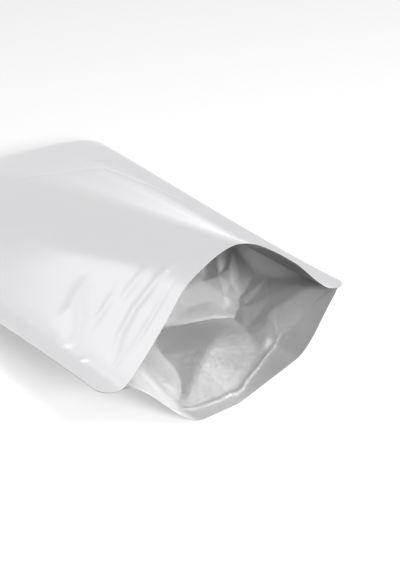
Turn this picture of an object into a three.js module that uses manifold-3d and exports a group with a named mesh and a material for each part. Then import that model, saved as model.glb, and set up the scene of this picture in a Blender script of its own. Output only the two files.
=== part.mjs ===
// Foil stand-up pouch, empty, open at the mouth and lying on its back panel.
//
// Frame: millimetres, +Z up, with the origin in the middle of the footprint, on the table.
// The mouth faces -Y and the gusseted bottom end is at +Y. It is one laminate shell: a
// front panel arched over a trough-shaped back panel, sealed together down both sides,
// with the bottom gusset folded inwards between them and open to the rear.
// The functions below measure y from the mouth edge; the finished mesh is moved back by
// half the length.

import * as THREE from 'three';
import { mergeVertices } from 'three/addons/utils/BufferGeometryUtils.js';
import Module from 'manifold-3d';

// ---- Driving dimensions -----------------------------------------------------------

const FILM_WIDTH = 165;          // flat width of the pouch, seal edge to seal edge
const POUCH_LENGTH = 240;        // mouth edge to bottom edge
const WALL = 0.45;               // modelled thickness of one layer of laminate
const SIDE_SEAL = 7;             // width of the flat side seals
const BOTTOM_SEAL = 13;          // width of the seal along the bottom edges
const GUSSET_DEPTH = 40;         // how far the bottom gusset folds into the pouch
const CORNER_RADIUS = 9;         // rounded outer corners of the film at the mouth
const END_RADIUS = 13;           // and at the bottom end

const MOUTH_HALF = 0.390 * FILM_WIDTH;   // half the straight distance between the mouth corners
const END_HALF = 0.489 * FILM_WIDTH;     // half the width at the bottom end
const WIDENING = 1.48;                   // how late the sides spread between the two

const SEAM_LEFT = 33.2;          // height of the left side seal at the mouth
const SEAM_RIGHT = 36.7;         // height of the right side seal at the mouth
const SEAM_END = 3;              // height of both at the bottom end
const SEAM_FALL = 0.86;          // how evenly they come down between the two
const CORNER_FLICK = 1.8;        // how much the right mouth corner turns up besides
const FLICK_REACH = 20;          // how far along the seal that dies away

const MOUTH_RISE = 46.9;         // crown of the mouth above the line between its corners
const END_RISE = 9;              // the same at the bottom end

const LEFT_KNEE = [15, 58];      // distance from the middle at which the back panel leaves
const RIGHT_KNEE = [41, 58];     // the table, at the mouth and at the bottom end
const LIP_SLOPE = 0.32;          // how steeply the right of the back panel's lip lifts
const LIP_START = 3;             // x where that lift starts
const LIP_REACH = 35;            // how far into the pouch it dies away

// ---- Outlines and heights of the two panels ---------------------------------------

const clamp01 = (t) => Math.min(1, Math.max(0, t));
const mix = (a, b, t) => a + (b - a) * t;
const ease = (t) => clamp01(t) ** 2 * (3 - 2 * clamp01(t));

// The arch of the mouth, from corner to corner: share of the half width, share of the rise.
const ARCH = [
  [-1, 0], [-0.87, 0.025], [-0.74, 0.186], [-0.54, 0.52], [-0.4, 0.774], [-0.27, 0.896],
  [-0.1, 0.99], [0.03, 0.99], [0.2, 0.875], [0.5, 0.52], [0.7, 0.21], [0.82, 0.065], [1, 0],
];

// A smooth curve through a few points that are ordered by their first number.
function through(points, x) {
  let i = 1;
  while (i < points.length - 1 && points[i][0] < x) i += 1;
  const [x0, y0] = points[i - 1];
  const [x1, y1] = points[i];
  const before = points[Math.max(0, i - 2)];
  const after = points[Math.min(points.length - 1, i + 1)];
  const slope0 = (y1 - before[1]) / (x1 - before[0]);
  const slope1 = (after[1] - y0) / (after[0] - x0);
  const span = x1 - x0;
  const t = clamp01((x - x0) / span);
  return y0 * (1 + 2 * t) * (1 - t) ** 2 + slope0 * span * t * (1 - t) ** 2
    + y1 * t * t * (3 - 2 * t) - slope1 * span * t * t * (1 - t);
}

// Half the width of the film's outline if its corners were square.
function squareHalf(y) {
  return mix(MOUTH_HALF, END_HALF, clamp01(y / POUCH_LENGTH) ** WIDENING);
}

// Where the side seals end and the open space begins.
const sealLine = (y) => squareHalf(y) - SIDE_SEAL;

// Half the width with its corners rounded.
function halfWidth(y) {
  const radius = y < POUCH_LENGTH / 2 ? CORNER_RADIUS : END_RADIUS;
  const corner = Math.max(0, radius - Math.min(y, POUCH_LENGTH - y));
  const rounded = squareHalf(y) - radius + Math.sqrt(radius ** 2 - corner ** 2);
  return Math.max(rounded, sealLine(y) + 0.5);
}

function seamHeight(x, y) {
  const left = clamp01(0.5 - 0.5 * x / squareHalf(y));
  const atMouth = mix(SEAM_RIGHT, SEAM_LEFT, left);
  const fall = clamp01(1 - y / POUCH_LENGTH) ** SEAM_FALL;
  const flick = CORNER_FLICK * (1 - left) * Math.exp(-Math.max(0, y) / FLICK_REACH);
  return SEAM_END + (atMouth - SEAM_END) * fall + flick;
}

// Upper face of the front panel: straight lines run from the mouth's arch to the low
// bulge of the bottom edge.
function frontTop(x, y) {
  const q = clamp01(y / POUCH_LENGTH);
  const n = Math.min(1, Math.max(-1, x / squareHalf(y)));
  const atMouth = MOUTH_RISE * through(ARCH, n);
  const atEnd = END_RISE * (1 - n * n) ** 0.6;
  return seamHeight(x, y) + mix(atMouth, atEnd, q) + WALL + gathers(x, y);
}

// Soft gathers that run up the left side of the front panel, square to the seal.
const GATHER_PITCH = 23;
const GATHER_HEIGHT = 0.8;
function gathers(x, y) {
  const n = x / squareHalf(y);
  const band = ease((-n - 0.4) / 0.2) * ease((0.92 + n) / 0.12);
  const inside = ease((y - 12) / 20) * ease((190 - y) / 60);
  return GATHER_HEIGHT * band * inside * Math.sin(2 * Math.PI * (y - 0.8 * x) / GATHER_PITCH);
}

// Folds pressed into the back panel: a line from one place to another, how high it
// stands and how far its two flanks reach.
const FOLDS = [
  { from: [-46, 9], to: [-22, 12], height: 1.6, flanks: [6, 5] },    // lip fold, left wall
  { from: [-22, 11], to: [7, 6], height: 1.3, flanks: [6, 5] },      // lip fold, middle
  { from: [7, 6], to: [41, 22], height: 1.6, flanks: [7, 5] },       // lip fold, right
  { from: [41, 22], to: [55, 48], height: 1.8, flanks: [6, 6] },     // up the right wall
  { from: [38, 48], to: [58, 62], height: 1.8, flanks: [6, 6] },     // deeper on that wall
  { from: [38, 48], to: [4, 72], height: 1.8, flanks: [6, 6] },      // across the floor
  { from: [38, 46], to: [-14, 12], height: 1.2, flanks: [12, 7] },   // towards the lip
];

function foldHeight(x, y) {
  let highest = 0;
  for (const { from, to, height, flanks } of FOLDS) {
    const run = Math.hypot(to[0] - from[0], to[1] - from[1]);
    const along = [(to[0] - from[0]) / run, (to[1] - from[1]) / run];
    const s = (x - from[0]) * along[0] + (y - from[1]) * along[1];
    const d = (x - from[0]) * along[1] - (y - from[1]) * along[0];
    const reach = d > 0 ? flanks[0] : flanks[1];
    const past = Math.max(0, -s, s - run);
    highest = Math.max(highest, height * Math.max(0, 1 - Math.hypot(d, past) / reach));
  }
  return highest;
}

// Under face of the back panel: flat on the table, rising to the seals on both sides.
function backUnder(x, y) {
  const q = clamp01(y / POUCH_LENGTH);
  const inner = sealLine(y);
  if (Math.abs(x) >= inner) return frontTop(x, y) - 2 * WALL;
  const lift = LIP_SLOPE * Math.max(0, x - LIP_START) * Math.exp(-Math.max(0, y) / LIP_REACH);
  const knee = mix(...(x < 0 ? LEFT_KNEE : RIGHT_KNEE), q);
  const climb = clamp01((Math.abs(x) - knee) / (inner - knee));
  const wall = x < 0 ? ease(climb) : 0.5 * (climb + ease(climb));
  const edge = frontTop(Math.sign(x) * inner, y) - 2 * WALL;
  return mix(lift + foldHeight(x, y), edge, wall);
}

// Height of a layer one wall inside a sheet, measured square to the sheet.
function offset(sheet, x, y, distance) {
  const step = 0.5;
  const slopeX = (sheet(x + step, y) - sheet(x - step, y)) / (2 * step);
  const slopeY = (sheet(x, y + step) - sheet(x, y - step)) / (2 * step);
  return sheet(x, y) + distance * Math.min(2.2, Math.hypot(1, slopeX, slopeY));
}

const cavityTop = (x, y) => offset(frontTop, x, y, -WALL);
const cavityFloor = (x, y) => offset(backUnder, x, y, WALL);

// ---- Closed bodies ----------------------------------------------------------------

// A box with fine sides is drawn out to the outline and heights of a body.
function slab(columns, rows, columnAt, rowAt, upper, lower) {
  const box = new THREE.BoxGeometry(2, 1, 2, columns, rows, 1);
  box.deleteAttribute('normal');
  box.deleteAttribute('uv');
  const geometry = mergeVertices(box);
  const place = geometry.attributes.position;
  for (let i = 0; i < place.count; i += 1) {
    const y = rowAt(Math.round((place.getY(i) + 0.5) * rows));
    const x = columnAt(place.getX(i), y);
    const z = place.getZ(i) > 0 ? upper(x, y) : lower(x, y);
    place.setXYZ(i, x, y, z);
  }
  return geometry;
}

const wasm = await Module();
wasm.setup();

function solidOf(geometry) {
  return new wasm.Manifold(new wasm.Mesh({
    numProp: 3,
    vertProperties: Float32Array.from(geometry.attributes.position.array),
    triVerts: Uint32Array.from(geometry.index.array),
  }));
}

// The outer skin and the space inside share their rows and columns, so that the wall
// between them is even. Rows lie close together at the mouth, where the film bends most.
const OPEN_COLUMNS = 30;         // between the side seals
const SEAL_COLUMNS = 2;          // across each side seal
const CORNER_ROWS = 3;           // along each rounded corner
const BODY_ROWS = 22;            // between the corners
const ROW_CROWDING = 1.35;
const CAVITY_MARGIN = 0.3;       // how far the open space stays clear of the seal line
const MOUTH_OVERRUN = 4;         // how far the cut for the open space runs out of the mouth

const bodyEnd = POUCH_LENGTH - END_RADIUS;
function outerRow(row) {
  const inCorner = (radius, k) => radius * (1 - Math.cos(0.5 * Math.PI * k / CORNER_ROWS));
  const last = 2 * CORNER_ROWS + BODY_ROWS;
  if (row <= CORNER_ROWS) return inCorner(CORNER_RADIUS, row);
  if (row >= last - CORNER_ROWS) return POUCH_LENGTH - inCorner(END_RADIUS, last - row);
  const between = (row - CORNER_ROWS) / BODY_ROWS;
  return mix(CORNER_RADIUS, bodyEnd, between ** ROW_CROWDING);
}

const CAVITY_CHAMFER = 5;        // how much narrower the open space is at its far end
const cavityHalf = (y) => sealLine(y) - CAVITY_MARGIN - (y >= bodyEnd ? CAVITY_CHAMFER : 0);
const outerShare = (OPEN_COLUMNS + 2 * SEAL_COLUMNS) / OPEN_COLUMNS;
function outerColumn(t, y) {
  const share = Math.abs(t) * outerShare;
  const open = sealLine(y) - CAVITY_MARGIN;
  const inSeal = clamp01((share - 1) / (outerShare - 1));
  return Math.sign(t) * (Math.min(share, 1) * open + inSeal * (halfWidth(y) - open));
}

const outer = solidOf(slab(OPEN_COLUMNS + 2 * SEAL_COLUMNS, 2 * CORNER_ROWS + BODY_ROWS,
  outerColumn, outerRow, frontTop, backUnder));

const insideMouth = (height) => (x, y) => height(x, Math.max(0, y));
const cavity = solidOf(slab(OPEN_COLUMNS, 1 + CORNER_ROWS + BODY_ROWS,
  (t, y) => t * cavityHalf(Math.max(0, y)),
  (row) => (row === 0 ? -MOUTH_OVERRUN : outerRow(row - 1)),
  insideMouth((x, y) => Math.max(cavityTop(x, y), cavityFloor(x, y) + 0.12)),
  insideMouth(cavityFloor)));

// The gusset: a wedge of open space behind its fold, and the same wedge one wall larger,
// which leaves a web of film between the two.
const FOLD_Y = POUCH_LENGTH - GUSSET_DEPTH;
const FOLD_HALF_HEIGHT = 0.5;
const GUSSET_COLUMNS = 20;
const GUSSET_ROWS = 6;
const GUSSET_OVERRUN = 4;
const GUSSET_MARGIN = 3.5;       // how far the gusset's fold stays clear of the side seals
function wedge(film) {
  const within = (y) => Math.min(y, POUCH_LENGTH);
  const half = (x, y) => {
    const open = clamp01((y - FOLD_Y) / (GUSSET_DEPTH - BOTTOM_SEAL - GUSSET_OVERRUN));
    const full = 0.5 * (cavityTop(x, y) - cavityFloor(x, y)) - WALL;
    return Math.max(0.3, mix(FOLD_HALF_HEIGHT, full, open)) + film * (1 + 0.6 * open);
  };
  const middle = (x, y) => 0.5 * (cavityTop(x, y) + cavityFloor(x, y));
  const reach = GUSSET_MARGIN - (film > 0 ? 6 : 0);
  const start = FOLD_Y - film;
  const end = POUCH_LENGTH + GUSSET_OVERRUN;
  return solidOf(slab(GUSSET_COLUMNS, GUSSET_ROWS,
    (t, y) => t * (sealLine(within(y)) - reach),
    (row) => mix(start, end, row / GUSSET_ROWS),
    (x, y) => middle(x, within(y)) + half(x, within(y)),
    (x, y) => middle(x, within(y)) - half(x, within(y))));
}

// Slivers that a cut leaves apart from the main body are dropped.
const mainBody = (solid) => solid.decompose().sort((a, b) => b.volume() - a.volume())[0];

const hollow = mainBody(cavity.subtract(wedge(WALL)));
const shell = mainBody(outer.subtract(hollow).subtract(wedge(0)));

// ---- The part ---------------------------------------------------------------------

function geometryOf(solid) {
  const mesh = solid.getMesh();
  const geometry = new THREE.BufferGeometry();
  geometry.setAttribute('position', new THREE.BufferAttribute(mesh.vertProperties, 3));
  geometry.setIndex(new THREE.BufferAttribute(mesh.triVerts, 1));
  geometry.computeVertexNormals();
  return geometry;
}

const foil = new THREE.MeshStandardMaterial({
  color: 0xd9dadc, metalness: 0.9, roughness: 0.35,
});

const pouch = new THREE.Mesh(geometryOf(shell), foil);
pouch.name = 'pouch';
pouch.position.y = -POUCH_LENGTH / 2;

const model = new THREE.Group();
model.add(pouch);

export default model;
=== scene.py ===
"""An empty foil stand-up pouch on its back panel, its mouth held open by the arch of its front panel.

Metres, +Z up. The mouth faces -Y, the folded bottom gusset is at +Y, and the pouch lies on z = 0.
It is three webs of laminate, as on the machine that makes it: a front panel, a back panel, and a
bottom gusset folded in between them, sealed together down both sides.
"""

import math

import bmesh
import bpy
import numpy as np
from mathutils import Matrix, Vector
from mathutils.geometry import delaunay_2d_cdt


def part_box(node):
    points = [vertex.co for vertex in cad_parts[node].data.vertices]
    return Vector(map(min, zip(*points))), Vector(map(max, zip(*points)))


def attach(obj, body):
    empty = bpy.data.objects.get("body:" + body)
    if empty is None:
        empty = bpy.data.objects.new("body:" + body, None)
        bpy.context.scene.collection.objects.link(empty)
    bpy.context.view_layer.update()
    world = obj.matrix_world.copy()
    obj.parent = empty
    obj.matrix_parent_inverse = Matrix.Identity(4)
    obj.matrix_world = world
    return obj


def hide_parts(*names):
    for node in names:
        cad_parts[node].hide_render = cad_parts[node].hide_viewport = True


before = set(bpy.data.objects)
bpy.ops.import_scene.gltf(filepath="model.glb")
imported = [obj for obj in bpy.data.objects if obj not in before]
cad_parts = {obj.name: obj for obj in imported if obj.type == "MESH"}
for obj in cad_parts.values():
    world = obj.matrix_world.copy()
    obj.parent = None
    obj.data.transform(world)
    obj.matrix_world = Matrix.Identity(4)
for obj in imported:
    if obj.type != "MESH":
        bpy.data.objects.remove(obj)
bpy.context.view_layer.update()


# ---- The table ----------------------------------------------------------------------------------
# A wide light table of white acrylic: lit from below a little, it runs to plain white behind the
# pouch, and only a soft shadow round the film shows on it.

scene = bpy.context.scene
mm = 0.001
TABLE_HALF = 3.0
TABLE_DROP = 0.1 * mm
ACRYLIC_WHITE = (0.12, 0.12, 0.122)
ACRYLIC_GLOW = 0.44
ACRYLIC_ROUGHNESS = 0.9

grid = bmesh.new()
bmesh.ops.create_grid(grid, x_segments=4, y_segments=4, size=TABLE_HALF)
bmesh.ops.translate(grid, verts=grid.verts, vec=(0, 0, -TABLE_DROP))
table_mesh = bpy.data.meshes.new("table_top")
grid.to_mesh(table_mesh)
grid.free()
table_top = bpy.data.objects.new("table_top", table_mesh)
scene.collection.objects.link(table_top)
white_acrylic = bpy.data.materials.new("white_acrylic")
white_acrylic.use_nodes = True
table_shader = white_acrylic.node_tree.nodes["Principled BSDF"]
table_shader.inputs["Base Color"].default_value = (*ACRYLIC_WHITE, 1)
table_shader.inputs["Emission Color"].default_value = (1, 1, 1, 1)
table_shader.inputs["Emission Strength"].default_value = ACRYLIC_GLOW
table_shader.inputs["Roughness"].default_value = ACRYLIC_ROUGHNESS
table_shader.inputs["Specular IOR Level"].default_value = 0
table_mesh.materials.append(white_acrylic)


# ---- Light --------------------------------------------------------------------------------------
# An evenly white tent all round, a broad lamp overhead, a dim one low at the back that the left flank
# mirrors, and three lamps in front that shine into the mouth.

TENT = 0.88

world = bpy.data.worlds.new("white_tent")
scene.world = world
world.use_nodes = True
world.node_tree.nodes["Background"].inputs["Color"].default_value = (1, 1, 1, 1)
world.node_tree.nodes["Background"].inputs["Strength"].default_value = TENT


def area_lamp(name, place, target, size, watts):
    lamp = bpy.data.lights.new(name, "AREA")
    lamp.shape = "SQUARE"
    lamp.size = size
    lamp.energy = watts
    lamp_object = bpy.data.objects.new(name, lamp)
    lamp_object.location = place
    aim = Vector(target) - Vector(place)
    lamp_object.rotation_euler = aim.to_track_quat("-Z", "Y").to_euler()
    scene.collection.objects.link(lamp_object)


MOUTH = (0, -0.1, 0.02)
MIDDLE = (0, 0, 0)
area_lamp("mouth_lamp", (-0.101, -1.254, 0.61), MOUTH, size=0.4, watts=114)
area_lamp("high_lamp", (0.104, -0.838, 1.085), MOUTH, size=0.4, watts=39)
area_lamp("left_lamp", (-0.454, -0.953, 0.89), MOUTH, size=0.4, watts=10)
area_lamp("back_lamp", (-0.84, 1.1, 0.37), MOUTH, size=0.7, watts=0.6)
area_lamp("top_lamp", (-0.5, 0.4, 1.25), MIDDLE, size=0.9, watts=5)


# ---- Camera -------------------------------------------------------------------------------------
# A long lens, low in front of the mouth and to its left, aimed at the table under the pouch's right
# half. Light may bounce many times, because it passes to and fro between the pouch's inner faces.

AZIMUTH = math.radians(-35.65)
ELEVATION = math.radians(33.46)
DISTANCE = 0.69296
TARGET = Vector((44.09 * mm, -33.47 * mm, 0))
SENSOR_WIDTH = 36
FOCAL_LENGTH = 88.42
GLOSSY_BOUNCES = 24
DIFFUSE_BOUNCES = 8

towards_camera = Vector((
    math.sin(AZIMUTH) * math.cos(ELEVATION),
    -math.cos(AZIMUTH) * math.cos(ELEVATION),
    math.sin(ELEVATION),
))
camera_data = bpy.data.cameras.new("camera")
camera_data.sensor_width = SENSOR_WIDTH
camera_data.lens = FOCAL_LENGTH
camera = bpy.data.objects.new("camera", camera_data)
camera.location = TARGET + DISTANCE * towards_camera
camera.rotation_euler = (-towards_camera).to_track_quat("-Z", "Y").to_euler()
scene.collection.objects.link(camera)
scene.camera = camera
scene.view_settings.view_transform = "Standard"
scene.cycles.max_bounces = GLOSSY_BOUNCES
scene.cycles.glossy_bounces = GLOSSY_BOUNCES
scene.cycles.diffuse_bounces = DIFFUSE_BOUNCES


# ---- The front panel ----------------------------------------------------------------------------
# The upper web of laminate, about 0.15 mm thick: satin foil under a clear outer film. It is bowed
# into an arch at the mouth, lies nearly flat at the bottom end, and is sealed down both sides.

low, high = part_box("pouch")
LENGTH = high.y - low.y
DRAWN_IN = 1.0391                       # flat width of the film over its width as it lies
WIDTH = (high.x - low.x) * DRAWN_IN
FILM = 0.15 * mm
SIDE_SEAL = 7 * mm
MOUTH_RADIUS = 9 * mm
END_RADIUS = 13 * mm
MOUTH_HALF = 0.390 * WIDTH
END_HALF = 0.489 * WIDTH
WIDENING = 1.48                         # how late the sides run out to their full width

SEAM_LEFT = 33.2 * mm                   # the side seals' height at the mouth
SEAM_RIGHT = 36.7 * mm
SEAM_END = 3.0 * mm                     # and at the bottom end
SEAM_FALL = 0.86                        # below 1, they fall off late
CORNER_FLICK = 1.8 * mm                 # the right corner stands up a little more
FLICK_REACH = 20 * mm
SEAL_STACK = 0.45 * mm                  # the panels' upper face over the middle of the seals
MOUTH_RISE = 46.9 * mm                  # how far the panel stands above its seals
END_RISE = 9 * mm
END_ROUNDNESS = 0.6                     # below 1, the bottom end is flatter than a round arch

# The arch of the mouth: share of the half width, share of the rise.
ARCH = (
    (-1, 0), (-0.87, 0.025), (-0.74, 0.186), (-0.54, 0.52), (-0.4, 0.774), (-0.27, 0.896),
    (-0.1, 0.99), (0.03, 0.99), (0.2, 0.875), (0.5, 0.52), (0.7, 0.21), (0.82, 0.065), (1, 0),
)


def mix(a, b, t):
    return a + (b - a) * t


def ease(t):
    t = np.clip(t, 0, 1)
    return t * t * (3 - 2 * t)


def through(points, x):
    """A smooth curve through a few points that are ordered by their first number."""
    knots, heights = np.array(points, float).T
    slopes = np.empty_like(heights)
    slopes[1:-1] = (heights[2:] - heights[:-2]) / (knots[2:] - knots[:-2])
    slopes[0] = (heights[1] - heights[0]) / (knots[1] - knots[0])
    slopes[-1] = (heights[-1] - heights[-2]) / (knots[-1] - knots[-2])
    i = np.clip(np.searchsorted(knots, x) - 1, 0, len(knots) - 2)
    span = knots[i + 1] - knots[i]
    t = np.clip((x - knots[i]) / span, 0, 1)
    return (heights[i] * (1 + 2 * t) * (1 - t) ** 2 + slopes[i] * span * t * (1 - t) ** 2
            + heights[i + 1] * t * t * (3 - 2 * t) - slopes[i + 1] * span * t * t * (1 - t))


def square_half(y):
    """Half the width of the outline if its corners were square."""
    return mix(MOUTH_HALF, END_HALF, np.clip(y / LENGTH, 0, 1) ** WIDENING)


def seal_line(y):
    """Where the side seals end and the open space begins."""
    return square_half(y) - SIDE_SEAL


def half_width(y):
    radius = np.where(y < LENGTH / 2, MOUTH_RADIUS, END_RADIUS)
    corner = np.maximum(0, radius - np.minimum(y, LENGTH - y))
    return square_half(y) - radius + np.sqrt(radius ** 2 - corner ** 2)


def seam_height(x, y):
    left = np.clip(0.5 - 0.5 * x / square_half(y), 0, 1)
    at_mouth = mix(SEAM_RIGHT, SEAM_LEFT, left)
    fall = np.clip(1 - y / LENGTH, 0, 1) ** SEAM_FALL
    flick = CORNER_FLICK * (1 - left) * np.exp(-y / FLICK_REACH)
    return SEAM_END + (at_mouth - SEAM_END) * fall + flick


def front_top(x, y):
    """Upper face of the front panel."""
    n = np.clip(x / square_half(y), -1, 1)
    at_mouth = MOUTH_RISE * through(ARCH, n)
    at_end = END_RISE * (1 - n * n) ** END_ROUNDNESS
    return seam_height(x, y) + mix(at_mouth, at_end, y / LENGTH) + SEAL_STACK


def crease(x, y, path, left_reach, right_reach, roundness):
    """A fold along a path of (x, y, height) in mm, which dies away to its left and right."""
    points = np.array(path, float) * mm
    nearest = np.full_like(x, np.inf)
    rise = np.zeros_like(x)
    for (x0, y0, height0), (x1, y1, height1) in zip(points[:-1], points[1:]):
        run = math.hypot(x1 - x0, y1 - y0)
        along_x, along_y = (x1 - x0) / run, (y1 - y0) / run
        share = np.clip(((x - x0) * along_x + (y - y0) * along_y) / run, 0, 1)
        aside = along_x * (y - y0) - along_y * (x - x0)
        distance = np.hypot(x - mix(x0, x1, share), y - mix(y0, y1, share))
        reach = np.where(aside > 0, left_reach, right_reach) * mm
        here = mix(height0, height1, share) * np.exp(-(distance / reach) ** roundness)
        closer = distance < nearest
        rise = np.where(closer, here, rise)
        nearest = np.where(closer, distance, nearest)
    return rise


# Where the film folds under the pull of the left seal: a path of (x, y, height) in mm, and the
# reach in mm to its left and right.
PULL_FOLDS = (
    (((-34, 62, 0), (-40, 59, 0.7), (-46, 56, 1.1), (-51, 46, 0.9), (-55, 40, 0)), 5, 6),
    (((-31, 40, 0), (-36, 38, 0.35), (-41, 38, 0.5), (-46, 38.5, 0.3), (-50, 39, 0)), 2.5, 3),
    (((-23, 30, 0), (-28, 29, 0.4), (-34, 31.5, 0.4), (-39, 33, 0)), 2.5, 3),
    (((-17, 18, 0), (-23, 17, 0.35), (-29, 18.5, 0.5), (-36, 21, 0.6), (-43, 20, 0.6), (-48, 17, 0.4),
      (-53, 13, 0)), 2.2, 3),
    (((-22, 8, 0), (-30, 9, -0.25), (-38, 9.5, -0.35), (-47, 9.5, -0.2), (-52, 9, 0)), 1.5, 2),
)
# The shoulder that the left flank turns down from.
SHOULDER = (((-16, 0, 0), (-19.5, 15, 0.3), (-23, 35, 0.5), (-28.4, 57.3, 0.6), (-33.2, 88.7, 0.6),
             (-38, 130, 0)), 7, 5)
# The edge of the folded gusset, pressed through the front panel.
GUSSET_MARK = (((-45, 196, 0), (-30, 192, 0.15), (0, 184, 0.2), (19, 176.2, 0.25), (32, 180, 0.35),
                (50, 183, 0.4), (51.5, 176, 0.35), (57.9, 150.5, 0.35), (60.8, 118.5, 0.3),
                (60, 80, 0)), 1.5, 2.5)
# Short sharp dents.
DINTS = (
    (((-53.5, 14.5, 0), (-52, 14, 0.3), (-49.5, 14.2, 0)), 0.6, 0.6),
    (((-53, 12, 0), (-51.5, 12.2, 0.3), (-49, 12.6, 0)), 0.6, 0.6),
    (((-58.5, 33, 0), (-57.3, 30, 0.35), (-56, 27, 0)), 0.6, 0.8),
    (((48, 195, 0), (54, 196, -0.5), (61, 198.5, 0)), 1.5, 1.2),
)
ROUND_FOLD = 2
SHARP_FOLD = 1


def front_relief(x, y):
    """How far the front panel stands out from its smooth form."""
    folds = sum(crease(x, y, *fold, ROUND_FOLD) for fold in (*PULL_FOLDS, SHOULDER))
    return folds + sum(crease(x, y, *mark, SHARP_FOLD) for mark in (GUSSET_MARK, *DINTS))


OPEN_COLUMNS = 200
SEAL_COLUMNS = 10
CORNER_ROWS = 16
MOUTH_ROWS = 120
BODY_ROWS = 70
PANEL_COLUMNS = OPEN_COLUMNS + 2 * SEAL_COLUMNS
PANEL_ROWS = CORNER_ROWS + MOUTH_ROWS + BODY_ROWS + CORNER_ROWS
MOUTH_ZONE = 75 * mm
LEAST_SEAL = 0.5 * mm                   # how much film is left outside the seal's line in the corners


def row_place(v):
    """How far from the mouth a row of the web lies: close rows in the corners and near the mouth."""
    row = v * PANEL_ROWS
    first = np.clip(row / CORNER_ROWS, 0, 1)
    near = np.clip((row - CORNER_ROWS) / MOUTH_ROWS, 0, 1)
    far = np.clip((row - CORNER_ROWS - MOUTH_ROWS) / BODY_ROWS, 0, 1)
    last = np.clip((row - CORNER_ROWS - MOUTH_ROWS - BODY_ROWS) / CORNER_ROWS, 0, 1)
    return (MOUTH_RADIUS * (1 - np.cos(0.5 * np.pi * first)) + (MOUTH_ZONE - MOUTH_RADIUS) * near
            + (LENGTH - END_RADIUS - MOUTH_ZONE) * far + END_RADIUS * np.sin(0.5 * np.pi * last))


def column_place(u, y):
    """How far across a column of the web lies: evenly over the open part, then over each seal."""
    step = np.abs(2 * u - 1) * PANEL_COLUMNS / 2
    open_half = np.minimum(seal_line(y), half_width(y) - LEAST_SEAL)
    across = open_half * np.clip(step / (OPEN_COLUMNS / 2), 0, 1)
    sealed = (half_width(y) - open_half) * np.clip((step - OPEN_COLUMNS / 2) / SEAL_COLUMNS, 0, 1)
    return np.sign(2 * u - 1) * (across + sealed)


def square_to(height, x, y):
    """The direction square to a web at each of its points, pointing up."""
    step = 0.2 * mm
    near, far = np.maximum(0, y - step), np.minimum(LENGTH, y + step)
    slope_x = (height(x + step, y) - height(x - step, y)) / (2 * step)
    slope_y = (height(x, far) - height(x, near)) / (far - near)
    away = np.stack([-slope_x, -slope_y, np.ones_like(x)], axis=1)
    return away / np.linalg.norm(away, axis=1, keepdims=True)


def on_panel(height, relief=None):
    """Places the points of a panel's web: outline, height, and its relief square to its surface."""
    def placed(u, v):
        y = row_place(v)
        x = column_place(u, y)
        place = np.stack([x, y + low.y, height(x, y)], axis=1)
        if relief:
            place += square_to(height, x, y) * relief(x, y)[:, None]
        place[:, 2] = np.maximum(place[:, 2], 0)
        return place
    return placed


def film_web(name, columns, rows, placed, turned, finishes):
    """One web of laminate: a grid put in its place point by point, turned over or not, with its wall."""
    sheet = bmesh.new()
    sheet.loops.layers.uv.new("film")
    bmesh.ops.create_grid(sheet, x_segments=columns, y_segments=rows, size=0.5, calc_uvs=True)
    if turned:
        bmesh.ops.reverse_faces(sheet, faces=sheet.faces)
    for edge in sheet.edges:
        edge.smooth = not edge.is_boundary
    mesh = bpy.data.meshes.new(name)
    sheet.to_mesh(mesh)
    sheet.free()
    flat = np.empty(len(mesh.vertices) * 3, np.float32)
    mesh.vertices.foreach_get("co", flat)
    flat = flat.reshape(-1, 3).astype(float) + 0.5
    place = placed(flat[:, 0], flat[:, 1])
    mesh.vertices.foreach_set("co", place.astype(np.float32).ravel())
    mesh.polygons.foreach_set("use_smooth", [True] * len(mesh.polygons))
    for finish in finishes:
        mesh.materials.append(finish)
    web = bpy.data.objects.new(name, mesh)
    scene.collection.objects.link(web)
    wall = web.modifiers.new("film_wall", "SOLIDIFY")
    wall.thickness = FILM
    wall.offset = -1
    wall.material_offset = 1
    wall.material_offset_rim = 2
    return web


SHEEN_SPREAD = 0.05
PEEL_DETAIL = 3


def foil(name, colour, metal, roughness, peel_depth, peel_size):
    """Aluminium laminate: metal seen through film, with a faint orange-peel in the film's surface."""
    made = bpy.data.materials.new(name)
    made.use_nodes = True
    nodes, links = made.node_tree.nodes, made.node_tree.links
    shader = nodes["Principled BSDF"]
    shader.inputs["Base Color"].default_value = (*colour, 1)
    shader.inputs["Metallic"].default_value = metal
    place = nodes.new("ShaderNodeTexCoord")
    peel = nodes.new("ShaderNodeTexNoise")
    peel.inputs["Scale"].default_value = 1 / peel_size
    peel.inputs["Detail"].default_value = PEEL_DETAIL
    relief = nodes.new("ShaderNodeBump")
    relief.inputs["Strength"].default_value = 1
    relief.inputs["Distance"].default_value = peel_depth
    sheen = nodes.new("ShaderNodeMapRange")
    sheen.inputs["To Min"].default_value = roughness - SHEEN_SPREAD
    sheen.inputs["To Max"].default_value = roughness + SHEEN_SPREAD
    links.new(place.outputs["Object"], peel.inputs["Vector"])
    links.new(peel.outputs["Fac"], relief.inputs["Height"])
    links.new(peel.outputs["Fac"], sheen.inputs["Value"])
    links.new(relief.outputs["Normal"], shader.inputs["Normal"])
    links.new(sheen.outputs["Result"], shader.inputs["Roughness"])
    return made


OUTER_FILM = (0.70, 0.70, 0.712)
INNER_FILM = (0.6, 0.6, 0.6)
# Painted shade: the front panel's inner face is coloured nearly black so that the underside of the arch
# looks as dark as the shade in the mouth. The real film is the same laminate as the back panel's inside.
PAINTED_SHADE_FILM = (0.06, 0.06, 0.06)    # the front panel's inner face
CUT_FILM = (0.05, 0.05, 0.05)
SMOOTH_PEEL = 0.0015 * mm
ROUGH_PEEL = 0.004 * mm
PEEL_SIZE = 1.5 * mm
CUT_SIZE = 0.3 * mm

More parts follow.
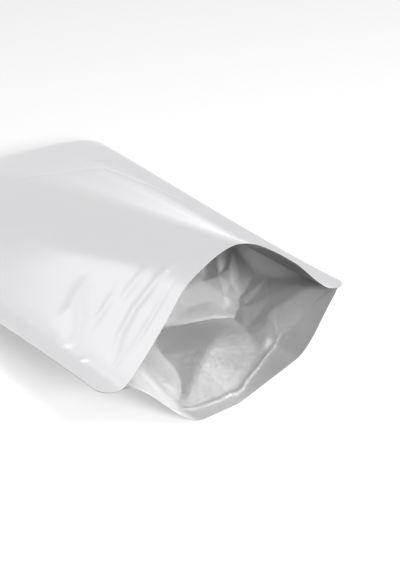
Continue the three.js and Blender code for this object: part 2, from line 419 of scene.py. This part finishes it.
foil_outside = foil("foil_outside", OUTER_FILM, metal=1.0, roughness=0.31,
                    peel_depth=SMOOTH_PEEL, peel_size=PEEL_SIZE)
foil_inside = foil("foil_inside", INNER_FILM, metal=1.0, roughness=0.5,
                   peel_depth=ROUGH_PEEL, peel_size=PEEL_SIZE)
# The front panel's inner face: satin foil whose near-black colour is painted shade for the underside of the
# arch.
painted_shade_ceiling = foil("painted_shade_ceiling", PAINTED_SHADE_FILM, metal=1.0, roughness=0.4,
                    peel_depth=ROUGH_PEEL, peel_size=PEEL_SIZE)
cut_edge = foil("cut_edge", CUT_FILM, metal=0.0, roughness=0.6,
                peel_depth=ROUGH_PEEL, peel_size=CUT_SIZE)

# The front panel's inner face takes the foil with painted shade.
front_panel = film_web("front_panel", PANEL_COLUMNS, PANEL_ROWS, on_panel(front_top, front_relief),
                       False, [foil_outside, painted_shade_ceiling, cut_edge])
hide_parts("pouch")
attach(front_panel, "root")


# ---- The back panel -----------------------------------------------------------------------------
# The lower web, of the same laminate: it rests on the table down its middle, climbs to the seals on
# both sides, and has dents and creases pressed into it where the pouch was once folded.

LEFT_KNEE = (15 * mm, 58 * mm)          # where each side starts to climb, at the mouth and at the end
RIGHT_KNEE = (41 * mm, 58 * mm)
KNEE_BEND = 0.4                         # how much of the right wall its rounded foot takes up
LIP_SLOPE = 0.32                        # the lower lip leaves the table towards the right
LIP_START = 3 * mm
LIP_REACH = 35 * mm


def ramp(t, bend):
    """0 far below 0 and t itself far above, with a round bend in between."""
    return np.where(t > bend, np.minimum(t, 1), np.maximum(0, t + bend) ** 2 / (4 * bend))


def back_under(x, y):
    """Under face of the back panel."""
    inner = seal_line(y)
    q = y / LENGTH
    lift = LIP_SLOPE * np.maximum(0, x - LIP_START) * np.exp(-y / LIP_REACH)
    knee = np.where(x < 0, mix(*LEFT_KNEE, q), mix(*RIGHT_KNEE, q))
    climb = (np.abs(x) - knee) / (inner - knee)
    wall = np.where(x < 0, ease(climb), ramp(climb, KNEE_BEND))
    edge = front_top(np.sign(x) * inner, y) - 2 * FILM
    body = mix(lift, edge, wall)
    return np.where(np.abs(x) >= inner, front_top(x, y) - 2 * FILM, body)


# The dented film of the back panel: lines of points (x, y, height) in mm that its facets meet along.
LIP_LEFT = (-22, 11.5, 0.4)
LIP_RIGHT = (39.6, 19.4, 0.8)
MEETING = (37.4, 48.6, 1)
DENTS = (
    # the lip's edge, and the fold that runs round inside it
    ((-64, -1, 0), (-44, -1, 0), (-20, -1, 0), (6, -1, 0), (30, -1, 0), (64, -1, 0)),
    ((-54, 6, 0), (-45, 6.8, 0), (-31, 7.6, 0), (-22, 8.6, 0)),
    ((-54, 8, 0), (-45.2, 9.1, 1.5), (-31, 10.2, 1.6), LIP_LEFT),
    (LIP_LEFT, (-14, 8, 0.2), (4, 7.5, 0.1), (14, 8.5, 0.1), (27, 13.5, 0.2), LIP_RIGHT),
    # the crest between the light facet behind the lip and the dark one beyond it
    (LIP_LEFT, (-14.4, 17, 1.3), (-6.8, 22.4, 2.2), (1.1, 28.2, 3.1), (7.5, 32.4, 3.9),
     (13, 36.2, 4.3), (20.1, 40.4, 4), (29.2, 44.9, 2.8), MEETING),
    # the valley at the foot of the left wall's bulge
    (LIP_LEFT, (-18.9, 14.8, 0.6), (-12.9, 20.7, 0.5), (-9.1, 27, 0.4), (-5.8, 34.9, 0.2),
     (-4.4, 42.4, 0), (-3.7, 50.8, 0), (0, 68, 0)),
    # that bulge
    ((-54, 8, 0), (-32.2, 20.6, 7.8), (-26.5, 39, 13), (-25.9, 61.2, 14), (-31.5, 90.8, 10), (-40, 130, 0)),
    # the valley across the floor
    (MEETING, (29, 55, 1.5), (21, 59.5, 0.9), (10, 66, 0), (0, 68, 0)),
    # the far floor, which climbs beyond that nearly as one flat facet
    ((36, 56, 3), (42, 57, 4.5)),
    ((24, 68, 4), (34, 64, 5.3), (41, 62, 6.4), (46, 64, 6.2)),
    ((2, 84, 3.5), (14, 80, 5.6), (26, 78, 8.1), (37, 75, 10), (45, 72, 9.9), (50, 71, 5.8)),
    ((8, 110, 11), (30, 104, 17.5), (46, 98, 18), (54, 90, 9.6)),
    # the fold at the foot of the right wall, and the next one up it
    (MEETING, (42.2, 51.3, 2.6), (45.3, 55.3, 3.1), (50.7, 63.7, 1.4), (54.6, 71.3, -0.4),
     (57.2, 77.7, -0.8), (60, 95, 1), (62, 130, 2)),
    (MEETING, (41, 49.4, 3), (43.2, 50.2, 3.3), (48.2, 52.6, 1.4), (53.6, 56.6, -3.8),
     (57.7, 61.2, -7)),
    # up the right wall from the corner of the lip's fold
    (LIP_RIGHT, (45.2, 31.8, 4), (48.9, 38, 1.8), (54.5, 46.6, -3.4), (58.5, 53, -5)),
    # the right end of the light facet behind the lip
    (MEETING, (35.8, 38.9, 1.2), (33.7, 30.8, 1), (29.6, 21.5, 0.4), (27.5, 16.5, 0)),
    # a tuck beside the corner
    ((27.5, 16.5, 0), (35.9, 23.3, 1.9), LIP_RIGHT),
    (LIP_RIGHT, (38.8, 26.4, 2), (42, 29.9, 3.4), (45.2, 31.8, 4)),
    # beyond and beside the dents
    ((-64, -1, 0), (-66, 130, 0), (-40, 130, 0), (-20, 130, 6), (10, 130, 10), (30, 130, 14), (48, 130, 9),
     (62, 130, 2), (66, 130, 0), (64, -1, 0)),
    ((-66, 130, 0), (-80, 190, 0), (80, 190, 0), (66, 130, 0)),
    ((-80, 190, 0), (-90, 245, 0), (90, 245, 0), (80, 190, 0)),
)

# How far the bend along a line reaches to each side of it: on the floor and on the right wall, and what
# share of that is left far inside and on the lip.
SOFT_BEND = 3 * mm
TIGHT_BEND = 1.2 * mm
FLOOR_SIDE = 22 * mm
WALL_SIDE = 42 * mm
FAR_SHARE = 0.35
NEAR_FLOOR = 43 * mm
FAR_FLOOR = 52 * mm
LIP_SHARE = 0.3
LIP_DEPTH = 20 * mm

BEND_POINTS = 24                        # places round a point that its height is the mean of
GOLDEN_ANGLE = math.radians(137.5)
SEAL_EASE = 4 * mm                      # the dents fade out over this much beside the seals
WHOLE_HULL = 0                          # the facets fill the space between the outermost points
WELD = 0.01                             # in mm: points nearer than this are one
EDGE_SHARE = 1e-6                       # an edge belongs to both of its facets


def facet_net(lines):
    """The corners (x, y, height) in metres of the flat facets between lines of points."""
    corners = []
    edges = []
    for line in lines:
        numbers = []
        for point in line:
            if point not in corners:
                corners.append(point)
            numbers.append(corners.index(point))
        edges += zip(numbers[:-1], numbers[1:])
    flat = [Vector(corner[:2]) for corner in corners]
    places, _, faces, origins, _, _ = delaunay_2d_cdt(flat, edges, [], WHOLE_HULL, WELD)
    heights = [corners[origin[0]][2] for origin in origins]
    raised = np.array([(*place, height) for place, height in zip(places, heights)]) * mm
    return [raised[list(face)] for face in faces]


def facet_height(facets, x, y):
    """The height of the flat facets at each point."""
    height = np.zeros_like(x)
    for (x0, y0, height0), (x1, y1, height1), (x2, y2, height2) in facets:
        area = (x1 - x0) * (y2 - y0) - (x2 - x0) * (y1 - y0)
        share1 = ((x - x0) * (y2 - y0) - (x2 - x0) * (y - y0)) / area
        share2 = ((x1 - x0) * (y - y0) - (x - x0) * (y1 - y0)) / area
        share0 = 1 - share1 - share2
        within = (share0 >= -EDGE_SHARE) & (share1 >= -EDGE_SHARE) & (share2 >= -EDGE_SHARE)
        height = np.where(within, share0 * height0 + share1 * height1 + share2 * height2, height)
    return height


DENTED_FILM = facet_net(DENTS)

# Sharp creases on top of that: a path of (x, y, height) in mm, and the reach in mm to each side.
CREASES = (
    # round inside the lip
    (((-56, 7.5, 0), (-45.7, 9.1, 0.5), (-31.6, 10.1, 0.6), (-22, 11.5, 0.3), (-14, 8, 0.3),
      (-2.5, 6.8, 0.5), (3.4, 7.5, 0.5), (5.9, 5.8, 0.5), (9.4, 6, 0.5), (13.9, 8.5, 0.5),
      (21.9, 11.1, 0.5), (26.9, 13.6, 0.5), (34.9, 16.6, 0.5), (39.8, 19.4, 0.3)), 0.8, 0.8),
    # up the right wall
    (((39.6, 19.4, 0.3), (45.2, 31.8, 0.6), (48.9, 38, 0.8), (54.5, 46.6, 0.7), (58.5, 53, 0)), 1, 1),
    # across the floor
    (((37.4, 48.6, -0.2), (34, 52, -0.3), (29, 55, -0.3), (21, 59.5, -0.3), (14.5, 63, -0.2),
      (4, 67, 0)), 0.8, 0.8),
    # at the foot of the left wall's bulge
    (((-19, 14.8, 0), (-12.9, 20.7, -0.6), (-9.1, 27, -0.7), (-5.8, 34.9, -0.6), (-4.4, 42.4, -0.4),
      (-3.7, 50.8, 0)), 1.5, 1.5),
)


def bend_reach(x, y):
    """How far a bend reaches to each side of its line."""
    up_wall = ease((x - FLOOR_SIDE) / (WALL_SIDE - FLOOR_SIDE))
    far_in = ease((y - NEAR_FLOOR) / (FAR_FLOOR - NEAR_FLOOR))
    behind_lip = ease(LIP_SHARE + y / LIP_DEPTH)
    return mix(SOFT_BEND, TIGHT_BEND, up_wall) * (behind_lip * mix(1, FAR_SHARE, far_in))


def back_dented(x, y):
    """Under face of the back panel with its dents."""
    reach = bend_reach(x, y)
    soft = np.zeros_like(x)
    for k in range(BEND_POINTS):
        away = reach * math.sqrt((k + 0.5) / BEND_POINTS)
        turn = k * GOLDEN_ANGLE
        beside_x = x + away * math.cos(turn)
        beside_y = y + away * math.sin(turn)
        soft += facet_height(DENTED_FILM, beside_x, beside_y) / BEND_POINTS
    dents = soft + sum(crease(x, y, *fold, SHARP_FOLD) for fold in CREASES)
    inside = ease((seal_line(y) - np.abs(x)) / SEAL_EASE)
    return back_under(x, y) + inside * dents


back_panel = film_web("back_panel", PANEL_COLUMNS, PANEL_ROWS, on_panel(back_dented), True,
                      [foil_outside, foil_inside, cut_edge])
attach(back_panel, "root")


# ---- The bottom gusset --------------------------------------------------------------------------
# The third web, of the same laminate: folded in half lengthways, it lies between the panels with its
# fold towards the mouth, and its two leaves are heat-sealed to the panels along their bottom edges.

GUSSET_DEPTH = 40 * mm
BOTTOM_SEAL = 13 * mm
GUSSET_SLACK = 4 * mm                   # how far ahead of the bottom seals the leaves meet the panels
FOLD_GAP = 0.5 * mm                     # half the height of the bend along the fold
FOLD_SHARE = 0.25                       # the share of a leaf's rows that the bend takes up
FOLD_CLOSENESS = 1.5                    # above 1, the rows lie closer along the fold
END_INSET = 0.2 * mm                    # how far the gusset keeps inside the panels' outline
SIDE_INSET = 0.3 * mm
CORNER_INSET = 1 * mm
TWO_FILMS = 2.05 * FILM
GUSSET_COLUMNS = 160
LEAF_ROWS = 40


def gusset_place(u, v):
    """Upper leaf for v below a half, lower leaf above it, and the fold in between."""
    leaf = np.abs(2 * v - 1)
    y = LENGTH - GUSSET_DEPTH * np.where(leaf < 1, 1 - leaf ** FOLD_CLOSENESS, 0)
    y = np.minimum(y, LENGTH - END_INSET)
    x = (2 * u - 1) * (np.minimum(seal_line(y), half_width(y) - CORNER_INSET) - SIDE_INSET)
    opening = np.clip((y - LENGTH + GUSSET_DEPTH) / (GUSSET_DEPTH - BOTTOM_SEAL - GUSSET_SLACK), 0, 1)
    ceiling = front_top(x, y) - TWO_FILMS
    floor = back_under(x, y) + TWO_FILMS
    middle = 0.5 * (ceiling + floor)
    half = 0.5 * (ceiling - floor)
    bent = np.minimum(half, mix(FOLD_GAP * ease(leaf / FOLD_SHARE), half, opening))
    side = np.where(v < 0.5, 1, -1)
    return np.stack([x, y + low.y, middle + side * bent], axis=1)


bottom_gusset = film_web("bottom_gusset", GUSSET_COLUMNS, 2 * LEAF_ROWS, gusset_place, False,
                         [foil_outside, foil_inside, cut_edge])
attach(bottom_gusset, "root")
